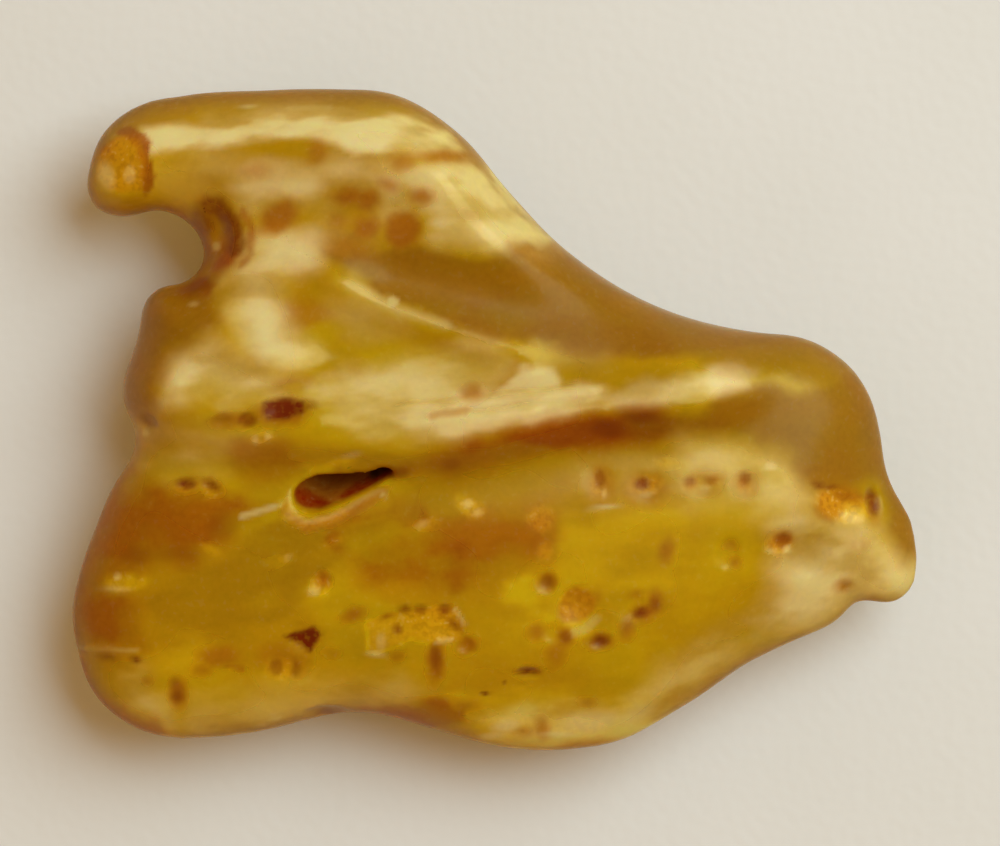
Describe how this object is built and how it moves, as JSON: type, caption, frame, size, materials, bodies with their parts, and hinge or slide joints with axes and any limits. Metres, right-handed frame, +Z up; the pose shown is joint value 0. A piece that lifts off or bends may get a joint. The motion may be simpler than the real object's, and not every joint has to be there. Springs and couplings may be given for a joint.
{
  "type": "raw copal",
  "caption": "Tumbled lump of cloudy honey-coloured tree resin with a hooked arm, a lip across its upper face, worn pits and a slot-like cavity, lying on a worn flat.",
  "frame": {"origin": "on the worn flat that the lump rests on, under the middle of its outline", "axes": "+X along the lump's length towards its blunt toe, +Y towards the hooked arm, +Z up through the upper face"},
  "size_m": [0.0599, 0.0469, 0.0148],
  "materials": {
    "resin": "satin polish on cloudy, see-through honey-coloured resin, with rough red-brown pits"
  },
  "bodies": {
    "root": {"copal": "resin"}
  },
  "joints": []
}
